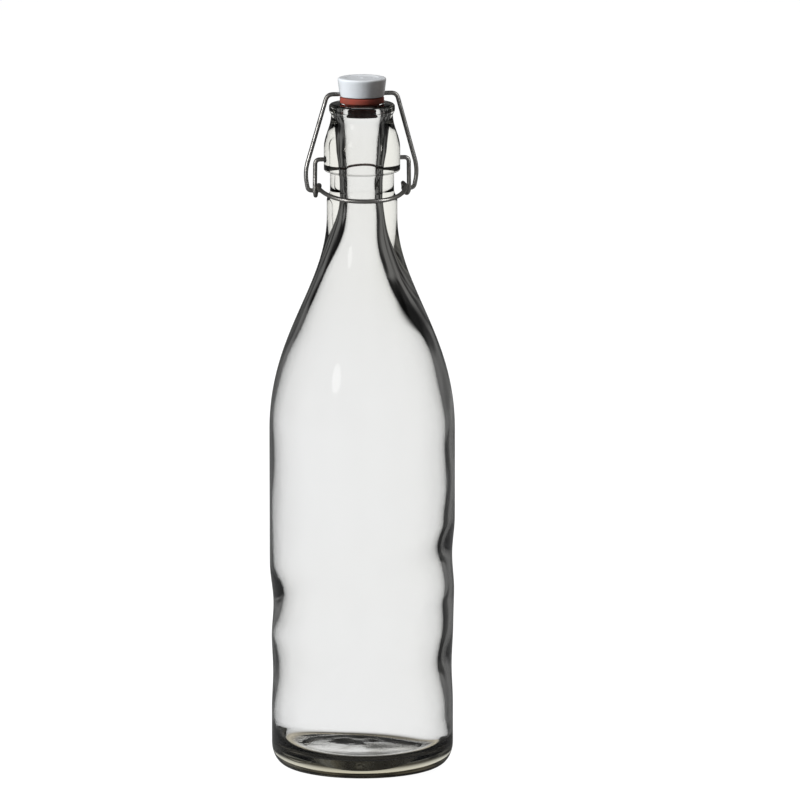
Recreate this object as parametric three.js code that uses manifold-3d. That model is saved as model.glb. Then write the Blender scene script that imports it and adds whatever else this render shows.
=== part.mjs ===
// A slim one-litre swing-top growler in clear glass, closed and empty.
//
// Five real pieces: the blown bottle, a lever wire that is hooked into two dimples in its neck
// bead, a bail wire hinged in the lever's coiled eyes, a stopper head that hangs on the bail,
// and the rubber gasket on the stopper. Swinging the lever forward lets the bail and stopper rise.
//
// Millimetres, +Z up, origin on the bottle's axis in the plane it stands on. The wires leave
// the glass at +X and -X, and the lever's hoop is in front, towards -Y.

import * as THREE from "three";
import { mergeVertices } from "three/addons/utils/BufferGeometryUtils.js";
import Module from "manifold-3d";

const wasm = await Module();
wasm.setup();

// Driving dimensions
const BODY_R = 42.5;
const WALL = 2.3;
const LIP_TOP = 306.6;
const BORE_R = 8.3;
const WIRE_R = 1.0;
const GAP = 0.3;
const TURN_SEGMENTS = 40;
const WIRE_SIDES = 8;
const CURVE_STEP = 12;

// Base: a narrow ring to stand on round a pushed-up centre
const RING_IN_R = 27;
const RING_OUT_R = 35;
const HEEL_RISE = 10;
const PUSH_UP = 5;
const FLOOR_EDGE_R = 34;
const FLOOR_EDGE_Z = 8.5;
const FLOOR_CENTRE_Z = 11;
const FLOOR_HEEL_Z = 16;

// Body, slightly slimmer below
const BODY_TAPER = 0.8;
const TAPER_LOW_Z = 55;
const TAPER_HIGH_Z = 98;
const BODY_ROWS = 18;

// Shoulder, one S-curve from the body to the neck
const SHOULDER_Z = 156.1;
const SHOULDER_PULL = 44.5;
const NECK_R = 16.1;
const NECK_Z = 255.1;
const NECK_PULL = 32.9;

// Bore, choked below the mouth and flared through the thick glass at the neck's root
const CHOKE_R = 6.4;
const CHOKE_HIGH_Z = 268;
const CHOKE_LOW_Z = 264;
const BORE_LOW_Z = 296;
const ROOT_R = 14;
const ROOT_Z = 228;

// Neck finish: a groove for the lever's hoop, the bead that holds its ends, then the lip
const GROOVE_R = 14.6;
const GROOVE_LOW_Z = 262;
const GROOVE_Z = 267.5;
const GROOVE_HIGH_Z = 275;
const BEAD_R = 17.4;
const BEAD_LOW_Z = 275.7;
const BEAD_ROUND = 0.9;
const BEAD_HIGH_Z = 286;
const WAIST_R = 14.1;
const WAIST_Z = 301.6;
const LIP_R = 15;
const LIP_Z = 303.2;
const LIP_ROUND = 1.4;
const MOUTH_R = 9.7;
const MOUTH_EASE = 1.8;
const DIMPLE_R = 1.5;
const DIMPLE_FLOOR_R = 14.9;

// Soft grip grooves round the lower body; each one slants, and is highest towards +X
const GRIP_GROOVES = [
  { z: 87, slant: 11, depth: 1.2 },
  { z: 44.5, slant: 1.5, depth: 0.6 },
];
const GRIP_HALF_HEIGHT = 18;
const GRIP_INNER_SHARE = 1.5;

// Closure: lever pivot, coiled eye and hoop, bail, and the wire's line through the stopper
const LEVER_Z = 281.3;
const LEVER_TIP_X = 15.3;
const LEVER_OUT_X = 21.6;
const EYE_Y = 2.55;
const EYE_Z = 266.7;
const EYE_R = 2.35;
const EYE_OUT_X = 21.8;
const EYE_IN_X = 19.4;
const HOOP_R = 17.45;
const HOOP_SPREAD = 2.6;
const HOOP_Z = 264.1;
const HOOP_RISE = 3.8;
const HOOP_END = THREE.MathUtils.degToRad(84);
const BAIL_PIN_X = 18.7;
const BAIL_FOOT_X = 24.5;
const BAIL_KNEE_X = 26.1;
const BAIL_KNEE_Z = 275.3;
const BAIL_SHOULDER_X = 16;
const STOPPER_WIRE_Z = 311.1;

// Stopper: a slightly conical head over a stem, and a lower flange that keeps the gasket on
const HEAD_TOP_Z = 318.5;
const HEAD_TOP_R = 11.05;
const HEAD_LOW_R = 10.2;
const HEAD_LOW_Z = 310.1;
const HEAD_EDGE = 0.8;
const STEM_R = 5.4;
const FLANGE_R = 6.5;
const FLANGE_TOP_Z = 302.6;
const FLANGE_LOW_Z = 301.2;
const WIRE_HOLE_R = WIRE_R + GAP;

// Gasket: a flat washer on the lip with a plug that reaches into the mouth
const WASHER_R = 10.1;
const WASHER_TOP_Z = HEAD_LOW_Z - GAP;
const WASHER_LOW_Z = LIP_TOP + GAP;
const PLUG_R = 8.1;
const PLUG_LOW_R = 6.6;
const PLUG_LOW_Z = FLANGE_TOP_Z + GAP;

const GLASS = new THREE.MeshStandardMaterial({
  color: 0xdfe3df,
  roughness: 0.03,
  metalness: 0,
  transparent: true,
  opacity: 0.35,
});
const STEEL = new THREE.MeshStandardMaterial({ color: 0x6f6e69, roughness: 0.32, metalness: 1 });
const WHITE_PLASTIC = new THREE.MeshStandardMaterial({ color: 0xe6e8ea, roughness: 0.3, metalness: 0 });
const RED_RUBBER = new THREE.MeshStandardMaterial({ color: 0x9a3d31, roughness: 0.6, metalness: 0 });

// A closed geometry as a manifold-3d solid
function toSolid(geometry) {
  const bare = geometry.clone();
  bare.deleteAttribute("normal");
  bare.deleteAttribute("uv");
  const merged = mergeVertices(bare, 1e-4);
  return new wasm.Manifold(
    new wasm.Mesh({
      numProp: 3,
      vertProperties: new Float32Array(merged.attributes.position.array),
      triVerts: new Uint32Array(merged.index.array),
    }),
  );
}

// A manifold-3d solid as a geometry with flat-shaded normals
function toGeometry(solid) {
  const mesh = solid.getMesh();
  const geometry = new THREE.BufferGeometry();
  geometry.setAttribute("position", new THREE.BufferAttribute(mesh.vertProperties, 3));
  geometry.setIndex(new THREE.BufferAttribute(mesh.triVerts, 1));
  geometry.computeVertexNormals();
  return geometry;
}

// An outline's points: lines keep their ends, and curves get more points the longer they are
function outlinePoints(outline) {
  const points = [outline.curves[0].getPoint(0)];
  for (const curve of outline.curves) {
    const steps = curve.isLineCurve ? 1 : Math.ceil(2 + curve.getLength() / CURVE_STEP);
    points.push(...curve.getPoints(steps).slice(1));
  }
  return points;
}

// An outline in the (radius, height) plane turned about +Z
function turned(outline) {
  const geometry = new THREE.LatheGeometry(outlinePoints(outline), TURN_SEGMENTS);
  geometry.rotateX(Math.PI / 2);
  return geometry;
}

// A round bar along X through a given height
function barAlongX(radius, length, centreX, centreZ) {
  const bar = new THREE.CylinderGeometry(radius, radius, length, 24);
  bar.rotateZ(Math.PI / 2);
  bar.translate(centreX, 0, centreZ);
  return bar;
}

// How deep the grip grooves press in at a height and an angle round the body
function gripDepth(angle, z) {
  let depth = 0;
  for (const groove of GRIP_GROOVES) {
    const away = (z - groove.z - groove.slant * Math.cos(angle)) / GRIP_HALF_HEIGHT;
    if (Math.abs(away) < 1) depth += groove.depth * (0.5 + 0.5 * Math.cos(Math.PI * away));
  }
  return depth;
}

// The body's radius at a height, before the grip grooves
function bodyRadius(z) {
  return BODY_R - BODY_TAPER * (1 - THREE.MathUtils.smoothstep(z, TAPER_LOW_Z, TAPER_HIGH_Z));
}

// Rows of points along the straight body, so that the grooves have vertices to move
function addBodyRows(outline, wall, fromZ, toZ) {
  for (let row = 0; row <= BODY_ROWS; row += 1) {
    const z = THREE.MathUtils.lerp(fromZ, toZ, row / BODY_ROWS);
    outline.lineTo(bodyRadius(z) - wall, z);
  }
}

function bottleOutline() {
  const bodyIn = BODY_R - WALL;
  const heelR = bodyRadius(0);
  const heelIn = heelR - WALL;
  const gripTop = TAPER_HIGH_Z + 2 * GRIP_HALF_HEIGHT;
  const outline = new THREE.Path();
  // underside and heel
  outline.moveTo(0, PUSH_UP);
  outline.quadraticCurveTo(RING_IN_R * 0.75, PUSH_UP, RING_IN_R, 0);
  outline.lineTo(RING_OUT_R, 0);
  outline.absellipse(RING_OUT_R, HEEL_RISE, heelR - RING_OUT_R, HEEL_RISE, -Math.PI / 2, 0, false, 0);
  addBodyRows(outline, 0, HEEL_RISE + 1, gripTop);
  // shoulder and neck
  outline.lineTo(BODY_R, SHOULDER_Z);
  outline.bezierCurveTo(BODY_R, SHOULDER_Z + SHOULDER_PULL, NECK_R, NECK_Z - NECK_PULL, NECK_R, NECK_Z);
  outline.lineTo(NECK_R, GROOVE_LOW_Z);
  outline.bezierCurveTo(NECK_R, GROOVE_LOW_Z + 2, GROOVE_R, GROOVE_Z - 3, GROOVE_R, GROOVE_Z);
  outline.lineTo(GROOVE_R, GROOVE_HIGH_Z);
  // bead, waist and lip
  outline.lineTo(BEAD_R - BEAD_ROUND, BEAD_LOW_Z);
  outline.quadraticCurveTo(BEAD_R, BEAD_LOW_Z, BEAD_R, BEAD_LOW_Z + BEAD_ROUND);
  outline.lineTo(BEAD_R, BEAD_HIGH_Z);
  outline.bezierCurveTo(BEAD_R, BEAD_HIGH_Z + 6, WAIST_R, WAIST_Z - 6, WAIST_R, WAIST_Z);
  outline.lineTo(LIP_R, LIP_Z);
  outline.lineTo(LIP_R, LIP_TOP - LIP_ROUND);
  outline.absellipse(LIP_R - LIP_ROUND, LIP_TOP - LIP_ROUND, LIP_ROUND, LIP_ROUND, 0, Math.PI / 2, false, 0);
  // mouth and bore
  outline.lineTo(MOUTH_R, LIP_TOP);
  outline.quadraticCurveTo(BORE_R + 0.4, LIP_TOP, BORE_R + 0.4, LIP_TOP - MOUTH_EASE);
  outline.lineTo(BORE_R, BORE_LOW_Z);
  outline.bezierCurveTo(BORE_R, BORE_LOW_Z - 9, CHOKE_R, CHOKE_HIGH_Z + 14, CHOKE_R, CHOKE_HIGH_Z);
  outline.lineTo(CHOKE_R, CHOKE_LOW_Z);
  // inside of the neck's root and the shoulder
  outline.bezierCurveTo(CHOKE_R, CHOKE_LOW_Z - 11, ROOT_R - 4, ROOT_Z + 11, ROOT_R, ROOT_Z);
  outline.bezierCurveTo(ROOT_R + 6, ROOT_Z - 16.5, bodyIn - 0.5, SHOULDER_Z + 34, bodyIn, SHOULDER_Z);
  // inside of the body and floor
  addBodyRows(outline, WALL, gripTop, FLOOR_HEEL_Z + 1);
  outline.absellipse(
    FLOOR_EDGE_R, FLOOR_HEEL_Z, heelIn - FLOOR_EDGE_R, FLOOR_HEEL_Z - FLOOR_EDGE_Z, 0, -Math.PI / 2, true, 0,
  );
  outline.quadraticCurveTo(FLOOR_EDGE_R * 0.5, FLOOR_CENTRE_Z, 0, FLOOR_CENTRE_Z);
  return outline;
}

// The body's points between heel and shoulder move in towards the axis by the grooves' depth
function pressGrooves(geometry) {
  const position = geometry.attributes.position;
  for (let i = 0; i < position.count; i += 1) {
    const x = position.getX(i);
    const y = position.getY(i);
    const z = position.getZ(i);
    const radius = Math.hypot(x, y);
    if (z < HEEL_RISE || z > SHOULDER_Z) continue;
    const inner = radius < bodyRadius(z) - WALL / 2;
    const depth = gripDepth(Math.atan2(y, x), z) * (inner ? GRIP_INNER_SHARE : 1);
    const scale = (radius - depth) / radius;
    position.setXYZ(i, x * scale, y * scale, z);
  }
}

function makeBottle() {
  const glass = turned(bottleOutline());
  pressGrooves(glass);
  let solid = toSolid(glass);
  for (const side of [-1, 1]) {
    const depth = BEAD_R + GAP - DIMPLE_FLOOR_R;
    const dimple = barAlongX(DIMPLE_R, depth, side * (DIMPLE_FLOOR_R + depth / 2), LEVER_Z);
    solid = solid.subtract(toSolid(dimple));
  }
  return new THREE.Mesh(toGeometry(solid), GLASS);
}

// A bent wire's centre line: straight runs between corners, each corner rounded to its own size
function addBends(path, start, corners) {
  let from = start;
  corners.forEach(({ at, bend }, i) => {
    const next = corners[i + 1];
    if (!next) {
      path.add(new THREE.LineCurve3(from, at));
      return;
    }
    const entry = at.clone().add(from.clone().sub(at).setLength(bend));
    const exit = at.clone().add(next.at.clone().sub(at).setLength(bend));
    path.add(new THREE.LineCurve3(from, entry));
    path.add(new THREE.QuadraticBezierCurve3(entry, at, exit));
    from = exit;
  });
}

// A round wire swept along a centre line
function makeWire(path, stepLength, material) {
  const section = new THREE.Shape();
  for (let side = 0; side < WIRE_SIDES; side += 1) {
    const angle = (2 * Math.PI * side) / WIRE_SIDES;
    const x = WIRE_R * Math.cos(angle);
    const y = WIRE_R * Math.sin(angle);
    if (side === 0) section.moveTo(x, y);
    else section.lineTo(x, y);
  }
  section.closePath();
  const geometry = new THREE.ExtrudeGeometry(section, {
    steps: Math.round(path.getLength() / stepLength),
    extrudePath: path,
    bevelEnabled: false,
  });
  return new THREE.Mesh(geometry, material);
}

// The coiled eye: three quarters of a turn under, behind and over the bail's pin, moving inwards
class EyeCoil extends THREE.Curve {
  constructor(side, inwards) {
    super();
    this.side = side;
    this.inwards = inwards;
  }

  getPoint(t, target = new THREE.Vector3()) {
    const share = this.inwards ? t : 1 - t;
    const turn = 1.5 * Math.PI * share;
    const x = this.side * THREE.MathUtils.lerp(EYE_OUT_X, EYE_IN_X, share);
    return target.set(x, EYE_Y - EYE_R * Math.cos(turn), EYE_Z - EYE_R * Math.sin(turn));
  }
}

// The hoop in front of the neck, from one eye's inner end to the other's
class FrontHoop extends THREE.Curve {
  getPoint(t, target = new THREE.Vector3()) {
    const angle = HOOP_END * (1 - 2 * t);
    const share = Math.abs(angle / HOOP_END);
    const radius = HOOP_R + HOOP_SPREAD * share ** 2;
    const z = HOOP_Z + HOOP_RISE * share ** 2.5;
    return target.set(radius * Math.sin(angle), -radius * Math.cos(angle), z);
  }
}

function makeLeverWire() {
  const path = new THREE.CurvePath();
  const tip = (side) => new THREE.Vector3(side * LEVER_TIP_X, 0, LEVER_Z);
  const elbow = (side) => new THREE.Vector3(side * LEVER_OUT_X, 0, LEVER_Z);
  const right = new EyeCoil(1, true);
  const left = new EyeCoil(-1, false);
  const hoop = new FrontHoop();
  addBends(path, tip(1), [{ at: elbow(1), bend: 2.2 }, { at: right.getPoint(0) }]);
  path.add(right);
  path.add(joinSmoothly(right, hoop));
  path.add(hoop);
  path.add(joinSmoothly(hoop, left));
  path.add(left);
  addBends(path, left.getPoint(1), [{ at: elbow(-1), bend: 2.2 }, { at: tip(-1) }]);
  return makeWire(path, 1.25, STEEL);
}

// A short curve that leaves one curve's end and enters the next along their own directions
function joinSmoothly(before, after) {
  const start = before.getPoint(1);
  const end = after.getPoint(0);
  const reach = start.distanceTo(end) / 3;
  const lead = start.clone().addScaledVector(before.getTangent(1), reach);
  const trail = end.clone().addScaledVector(after.getTangent(0), -reach);
  return new THREE.CubicBezierCurve3(start, lead, trail, end);
}

function makeBailWire() {
  const path = new THREE.CurvePath();
  const pin = (side) => new THREE.Vector3(side * BAIL_PIN_X, EYE_Y, EYE_Z);
  const foot = (side) => new THREE.Vector3(side * BAIL_FOOT_X, EYE_Y, EYE_Z);
  const kneeY = (EYE_Y * (STOPPER_WIRE_Z - BAIL_KNEE_Z)) / (STOPPER_WIRE_Z - EYE_Z);
  const knee = (side) => new THREE.Vector3(side * BAIL_KNEE_X, kneeY, BAIL_KNEE_Z);
  const shoulder = (side) => new THREE.Vector3(side * BAIL_SHOULDER_X, 0, STOPPER_WIRE_Z);
  addBends(path, pin(1), [
    { at: foot(1), bend: 1.9 },
    { at: knee(1), bend: 5 },
    { at: shoulder(1), bend: 2.6 },
    { at: shoulder(-1), bend: 2.6 },
    { at: knee(-1), bend: 5 },
    { at: foot(-1), bend: 1.9 },
    { at: pin(-1) },
  ]);
  return makeWire(path, 1.4, STEEL);
}

function makeStopperHead() {
  const outline = new THREE.Path();
  outline.moveTo(0, FLANGE_LOW_Z);
  outline.lineTo(FLANGE_R - 0.5, FLANGE_LOW_Z);
  outline.lineTo(FLANGE_R, FLANGE_LOW_Z + 0.5);
  outline.lineTo(FLANGE_R, FLANGE_TOP_Z);
  outline.lineTo(STEM_R, FLANGE_TOP_Z);
  outline.lineTo(STEM_R, HEAD_LOW_Z);
  outline.lineTo(HEAD_LOW_R, HEAD_LOW_Z);
  outline.lineTo(HEAD_TOP_R, HEAD_TOP_Z - HEAD_EDGE);
  outline.quadraticCurveTo(HEAD_TOP_R, HEAD_TOP_Z, HEAD_TOP_R - HEAD_EDGE, HEAD_TOP_Z);
  outline.lineTo(0, HEAD_TOP_Z);
  const solid = toSolid(turned(outline));
  const hole = barAlongX(WIRE_HOLE_R, 3 * HEAD_TOP_R, 0, STOPPER_WIRE_Z);
  const slotFoot = STEM_R - GAP;
  const slot = new THREE.BoxGeometry(3 * HEAD_TOP_R, 2 * WIRE_HOLE_R, WIRE_HOLE_R);
  slot.translate(0, 0, STOPPER_WIRE_Z - WIRE_HOLE_R / 2);
  const stem = new THREE.CylinderGeometry(slotFoot, slotFoot, 2 * WIRE_HOLE_R, TURN_SEGMENTS);
  stem.rotateX(Math.PI / 2);
  stem.translate(0, 0, STOPPER_WIRE_Z);
  const rimSlots = toSolid(slot).subtract(toSolid(stem));
  return new THREE.Mesh(toGeometry(solid.subtract(toSolid(hole)).subtract(rimSlots)), WHITE_PLASTIC);
}

function makeGasket() {
  const outline = new THREE.Path();
  const holeR = STEM_R + GAP;
  outline.moveTo(holeR, PLUG_LOW_Z);
  outline.lineTo(PLUG_LOW_R, PLUG_LOW_Z);
  outline.lineTo(PLUG_R, WASHER_LOW_Z);
  outline.lineTo(WASHER_R - 0.4, WASHER_LOW_Z);
  outline.quadraticCurveTo(WASHER_R, WASHER_LOW_Z, WASHER_R, WASHER_LOW_Z + 0.6);
  outline.lineTo(WASHER_R, WASHER_TOP_Z - 0.6);
  outline.quadraticCurveTo(WASHER_R, WASHER_TOP_Z, WASHER_R - 0.4, WASHER_TOP_Z);
  outline.lineTo(holeR, WASHER_TOP_Z);
  outline.lineTo(holeR, PLUG_LOW_Z);
  return new THREE.Mesh(turned(outline), RED_RUBBER);
}

const growler = new THREE.Group();
const pieces = {
  bottle: makeBottle(),
  lever_wire: makeLeverWire(),
  bail_wire: makeBailWire(),
  stopper_head: makeStopperHead(),
  gasket: makeGasket(),
};
for (const [name, mesh] of Object.entries(pieces)) {
  mesh.name = name;
  growler.add(mesh);
}

export default growler;
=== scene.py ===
"""A slim swing-top growler in clear glass, closed and empty, on a pale studio floor.

The bottle and the stopper are turned from outlines, and the two wires of the closure are bent
along their centre lines. Sizes are in millimetres until a mesh is made, and +Z is up.
"""

from __future__ import annotations

import logging
import math
from collections.abc import Iterator
from dataclasses import dataclass, field
from enum import Enum

import bpy
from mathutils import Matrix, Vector
from mathutils.kdtree import KDTree


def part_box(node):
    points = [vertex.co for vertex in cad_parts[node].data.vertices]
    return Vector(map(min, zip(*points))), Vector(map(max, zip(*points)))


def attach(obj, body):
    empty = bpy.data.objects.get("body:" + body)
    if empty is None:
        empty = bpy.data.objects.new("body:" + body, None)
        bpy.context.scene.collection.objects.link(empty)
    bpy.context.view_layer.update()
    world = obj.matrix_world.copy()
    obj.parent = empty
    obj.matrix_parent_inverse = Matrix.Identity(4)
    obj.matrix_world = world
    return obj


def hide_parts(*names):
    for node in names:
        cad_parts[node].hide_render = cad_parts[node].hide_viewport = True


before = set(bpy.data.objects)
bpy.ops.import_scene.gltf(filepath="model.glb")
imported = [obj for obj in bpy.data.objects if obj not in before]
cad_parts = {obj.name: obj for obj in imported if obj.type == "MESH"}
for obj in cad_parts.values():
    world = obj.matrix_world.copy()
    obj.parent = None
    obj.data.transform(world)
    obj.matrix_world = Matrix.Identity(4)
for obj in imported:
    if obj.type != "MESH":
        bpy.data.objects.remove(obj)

LOG = logging.getLogger("growler")
MM = 0.001
TAU = 2 * math.pi

Point = tuple[float, float]
Span = tuple[float, float]
Colour = tuple[float, float, float]


class Body(Enum):
    """The rigid bodies that the closure's motion is made of."""

    BOTTLE = "bottle"
    LEVER = "lever"
    BAIL = "bail"
    STOPPER = "stopper"


class Slot(Enum):
    """The record's material slots."""

    GLASS = "clear_glass"
    WIRE = "steel_wire"
    PLASTIC = "white_plastic"
    RUBBER = "red_rubber"


# ---------------------------------------------------------------- modelling


def deselect_all() -> None:
    """Leaves nothing selected, so that an operator acts only on what follows."""
    if bpy.context.mode != "OBJECT":
        bpy.ops.object.mode_set(mode="OBJECT")
    bpy.ops.object.select_all(action="DESELECT")


def take(piece: bpy.types.Object) -> None:
    """Selects one object and makes it active."""
    deselect_all()
    piece.select_set(True)
    bpy.context.view_layer.objects.active = piece


def smoothstep(value: float, low: float, high: float) -> float:
    """Returns 0 below low, 1 above high and a smooth ramp between them."""
    share = min(1.0, max(0.0, (value - low) / (high - low)))
    return share * share * (3 - 2 * share)


@dataclass
class Outline:
    """A turned piece's outline, as (radius, height) points in millimetres."""

    points: list[Point] = field(default_factory=list)

    def to(self, radius: float, height: float, rows: int = 1) -> Outline:
        """Adds a straight run.

        Args:
            radius: The run's last radius.
            height: The run's last height.
            rows: How many points the run gets.

        Returns:
            The outline itself.
        """
        if not self.points:
            self.points.append((radius, height))
            return self
        start = self.points[-1]
        for row in range(1, rows + 1):
            share = row / rows
            self.points.append(
                (start[0] + (radius - start[0]) * share, start[1] + (height - start[1]) * share)
            )
        return self

    def sweep(self, lead: Point, trail: Point, end: Point, rows: int) -> Outline:
        """Adds a cubic curve from the last point.

        Args:
            lead: The first control point.
            trail: The second control point.
            end: The curve's last point.
            rows: How many points the curve gets.

        Returns:
            The outline itself.
        """
        start = self.points[-1]
        for row in range(1, rows + 1):
            t = row / rows
            weights = ((1 - t) ** 3, 3 * (1 - t) ** 2 * t, 3 * (1 - t) * t * t, t**3)
            corners = (start, lead, trail, end)
            self.points.append(
                tuple(sum(w * c[axis] for w, c in zip(weights, corners)) for axis in (0, 1))
            )
        return self

    def arc(self, centre: Point, radii: Point, angles: Span, rows: int) -> Outline:
        """Adds part of an ellipse.

        Args:
            centre: The ellipse's centre.
            radii: Its half widths along radius and height.
            angles: The first and last angle in degrees, from outwards towards up.
            rows: How many steps the arc gets.

        Returns:
            The outline itself.
        """
        for row in range(rows + 1):
            angle = math.radians(angles[0] + (angles[1] - angles[0]) * row / rows)
            point = (centre[0] + radii[0] * math.cos(angle), centre[1] + radii[1] * math.sin(angle))
            if not self.points or math.dist(point, self.points[-1]) > 1e-4:
                self.points.append(point)
        return self


def turn_outline(name: str, outline: Outline, steps: int) -> bpy.types.Object:
    """Draws an outline by extruding a point, and spins it about +Z into a closed mesh.

    Args:
        name: The new piece's name.
        outline: The outline, which ends on the axis or closes on itself.
        steps: How many steps make the full turn.

    Returns:
        The new piece, with its faces pointing out.
    """
    deselect_all()
    first = outline.points[0]
    bpy.ops.mesh.primitive_plane_add(size=MM, location=(0, 0, 0))
    piece = bpy.context.object
    piece.name = piece.data.name = name
    bpy.ops.object.mode_set(mode="EDIT")
    bpy.ops.mesh.select_all(action="SELECT")
    bpy.ops.mesh.merge(type="CENTER")
    bpy.ops.transform.translate(value=(first[0] * MM, 0, first[1] * MM))
    for before, after in zip(outline.points, outline.points[1:]):
        step = ((after[0] - before[0]) * MM, 0, (after[1] - before[1]) * MM)
        bpy.ops.mesh.extrude_vertices_move(TRANSFORM_OT_translate={"value": step})
    bpy.ops.mesh.select_all(action="SELECT")
    bpy.ops.mesh.spin(steps=steps, angle=TAU, center=(0, 0, 0), axis=(0, 0, 1))
    bpy.ops.mesh.select_all(action="SELECT")
    bpy.ops.mesh.remove_doubles(threshold=MM * 0.002)
    bpy.ops.mesh.normals_make_consistent(inside=False)
    bpy.ops.object.mode_set(mode="OBJECT")
    return piece


def add_bar(
    radius: float, length: float, centre: tuple[float, float, float], edge: float
) -> bpy.types.Object:
    """Makes a round bar along X with rounded ends, to cut holes with.

    Args:
        radius: The bar's radius in millimetres.
        length: Its length in millimetres.
        centre: Its middle in millimetres.
        edge: How far its end edges are rounded, in millimetres.

    Returns:
        The bar.
    """
    deselect_all()
    bpy.ops.mesh.primitive_cylinder_add(
        vertices=48,
        radius=radius * MM,
        depth=length * MM,
        location=[c * MM for c in centre],
        rotation=(0, math.pi / 2, 0),
    )
    bpy.ops.object.transform_apply(location=True, rotation=True, scale=True)
    bar = bpy.context.object
    rounding = bar.modifiers.new("end rounding", "BEVEL")
    rounding.width = edge * MM
    rounding.segments = 4
    rounding.limit_method = "ANGLE"
    bpy.ops.object.modifier_apply(modifier=rounding.name)
    return bar


def cut_away(piece: bpy.types.Object, cutter: bpy.types.Object) -> None:
    """Cuts one solid out of another and deletes the cutter."""
    take(piece)
    cut = piece.modifiers.new("cut", "BOOLEAN")
    cut.operation = "DIFFERENCE"
    cut.solver = "EXACT"
    cut.object = cutter
    bpy.ops.object.modifier_apply(modifier=cut.name)
    bpy.data.objects.remove(cutter)


def bend_wire(name: str, route: list[Vector], radius: float) -> bpy.types.Object:
    """Sweeps a round wire with dressed ends along its centre line.

    Args:
        name: The new piece's name.
        route: The centre line's points in millimetres, closely spaced.
        radius: The wire's radius in millimetres.

    Returns:
        The wire as a mesh.
    """
    deselect_all()
    bpy.ops.curve.primitive_bezier_curve_add()
    curve = bpy.context.object.data
    curve.splines.clear()
    spline = curve.splines.new("POLY")
    spline.points.add(len(route) - 1)
    reach = radius * 0.4
    for point, place in zip(spline.points, route):
        point.co = (*(place * MM), 1)
        from_end = min((place - route[0]).length, (place - route[-1]).length)
        share = min(1.0, from_end / reach)
        point.radius = 0.6 + 0.4 * math.sqrt(1 - (1 - share) ** 2)
    curve.dimensions = "3D"
    curve.bevel_depth = radius * MM
    curve.bevel_resolution = 6
    curve.use_fill_caps = True
    bpy.ops.object.transform_apply(location=True, rotation=True, scale=True)
    bpy.ops.object.convert(target="MESH")
    wire = bpy.context.object
    wire.name = wire.data.name = name
    bpy.ops.object.mode_set(mode="EDIT")
    bpy.ops.mesh.select_all(action="SELECT")
    bpy.ops.mesh.remove_doubles(threshold=MM * 0.002)
    bpy.ops.mesh.normals_make_consistent(inside=False)
    bpy.ops.object.mode_set(mode="OBJECT")
    return wire


def straight(start: Vector, end: Vector, spacing: float) -> Iterator[Vector]:
    """Yields points from start up to, but not including, end."""
    steps = max(1, math.ceil((end - start).length / spacing))
    for step in range(steps):
        yield start.lerp(end, step / steps)


def rounded(corners: list[Vector], bends: list[float], spacing: float) -> list[Vector]:
    """Lays points along straight runs whose inner corners are rounded.

    Args:
        corners: The route's first point, its corners and its last point.
        bends: How far from each inner corner its rounding starts.
        spacing: The most that two points are apart.

    Returns:
        The route's points, with both ends.
    """
    route: list[Vector] = []
    start = corners[0]
    for before, corner, after, bend in zip(corners, corners[1:], corners[2:], bends):
        entry = corner + (before - corner).normalized() * bend
        leave = corner + (after - corner).normalized() * bend
        route.extend(straight(start, entry, spacing))
        steps = max(6, math.ceil(2 * bend / spacing))
        for step in range(steps):
            t = step / steps
            route.append(entry * (1 - t) ** 2 + corner * 2 * t * (1 - t) + leave * t * t)
        start = leave
    route.extend(straight(start, corners[-1], spacing))
    route.append(corners[-1])
    return route


def join_smoothly(before: list[Vector], after: list[Vector], spacing: float) -> list[Vector]:
    """Joins two routes by a short curve that keeps both directions.

    Args:
        before: The route that the curve leaves.
        after: The route that the curve enters.
        spacing: The most that two points are apart.

    Returns:
        The curve's points, without its ends.
    """
    start, end = before[-1], after[0]
    reach = (end - start).length / 3
    lead = start + (before[-1] - before[-2]).normalized() * reach
    trail = end - (after[1] - after[0]).normalized() * reach
    steps = max(4, math.ceil((end - start).length / spacing))
    curve = []
    for step in range(1, steps):
        t = step / steps
        leaving = start * (1 - t) ** 3 + lead * 3 * t * (1 - t) ** 2
        curve.append(leaving + trail * 3 * t * t * (1 - t) + end * t**3)
    return curve


def smooth(piece: bpy.types.Object, angle: float) -> None:
    """Shades a piece smooth except over edges sharper than an angle in degrees."""
    take(piece)
    bpy.ops.object.shade_smooth_by_angle(angle=math.radians(angle))


# ---------------------------------------------------------------- finishes


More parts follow.
